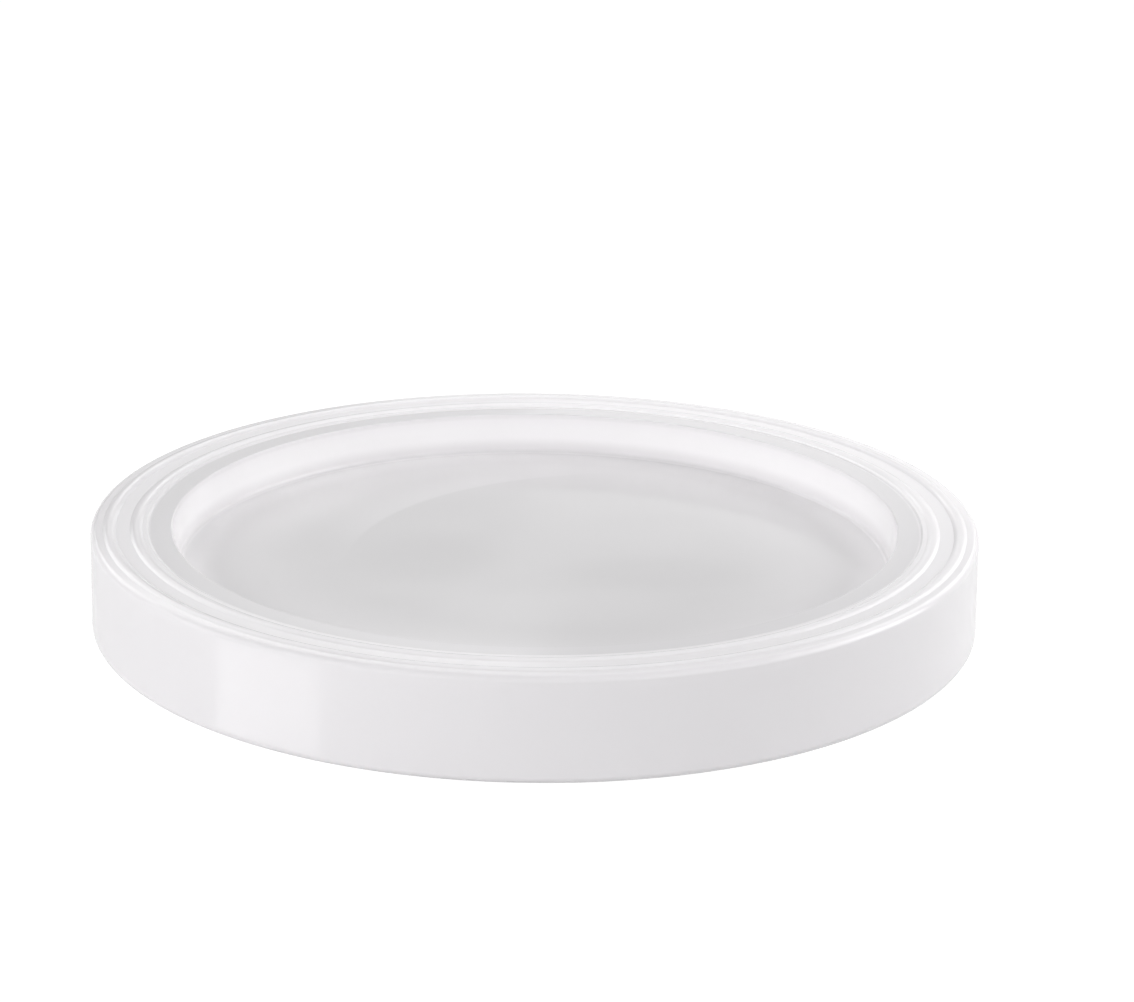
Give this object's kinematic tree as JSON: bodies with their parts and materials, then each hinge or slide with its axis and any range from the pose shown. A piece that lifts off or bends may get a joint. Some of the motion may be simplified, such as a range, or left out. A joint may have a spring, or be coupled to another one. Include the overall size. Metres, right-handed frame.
{
  "type": "carafe lid",
  "caption": "Round press-on lid for a carafe: shallow skirted cap whose top steps down in beaded rings to a shallow dish, with a plug and a rim channel below.",
  "frame": {"origin": "middle of the circle that the skirt's foot stands on", "axes": "+Z is the lid's axis, pointing up through the dish; X and Y are any two directions across it, because the lid is a body of revolution"},
  "size_m": [0.0854, 0.0854, 0.0099],
  "materials": {
    "lid_plastic": "glossy opaque white moulded plastic, very fine moulding waviness"
  },
  "bodies": {
    "root": {"lid": "lid_plastic"}
  },
  "joints": []
}
